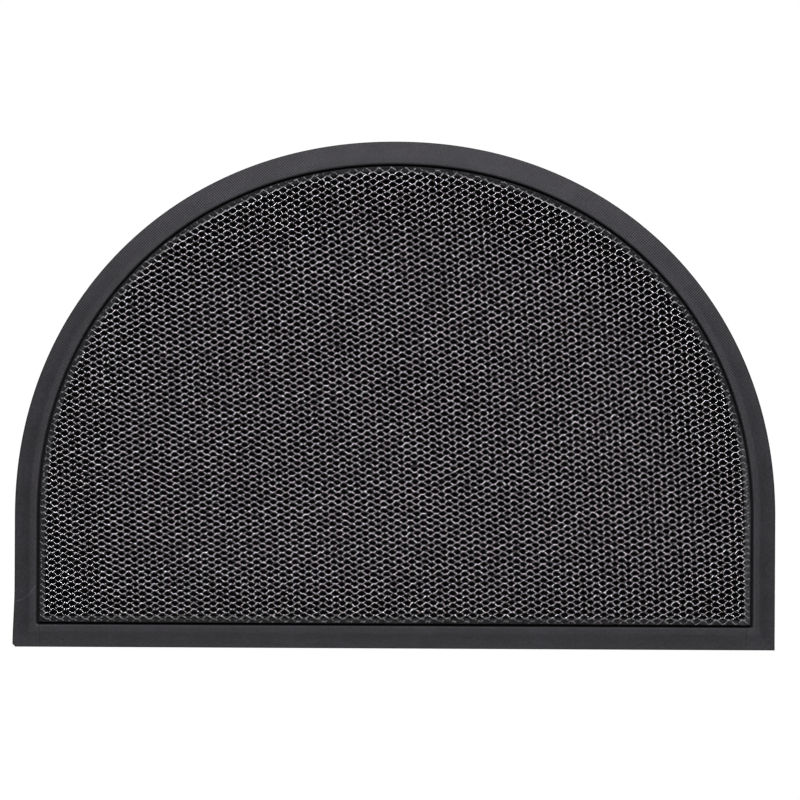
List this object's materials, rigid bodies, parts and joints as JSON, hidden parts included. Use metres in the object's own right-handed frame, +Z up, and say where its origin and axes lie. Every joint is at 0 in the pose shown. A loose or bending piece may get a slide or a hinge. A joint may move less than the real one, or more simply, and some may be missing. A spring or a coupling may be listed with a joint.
{
  "type": "doormat",
  "caption": "Half-round doormat: a rubber tray with a raised sloping border holds a scraper pad of open zigzag net.",
  "frame": {"origin": "on the ground under the middle of the mat's bounding box", "axes": "+Z up, +X along the straight edge, +Y from the straight edge towards the crown of the arch"},
  "size_m": [0.75, 0.5, 0.007],
  "materials": {
    "border_rubber": "black moulded rubber, matt to satin, with a fine crossed-line grain and faint scuffs",
    "net": "glossy black zigzag strands, clasped row to row over a matt black backing"
  },
  "bodies": {
    "root": {"rubber_tray": "border_rubber", "net_pad": "net"}
  },
  "joints": []
}
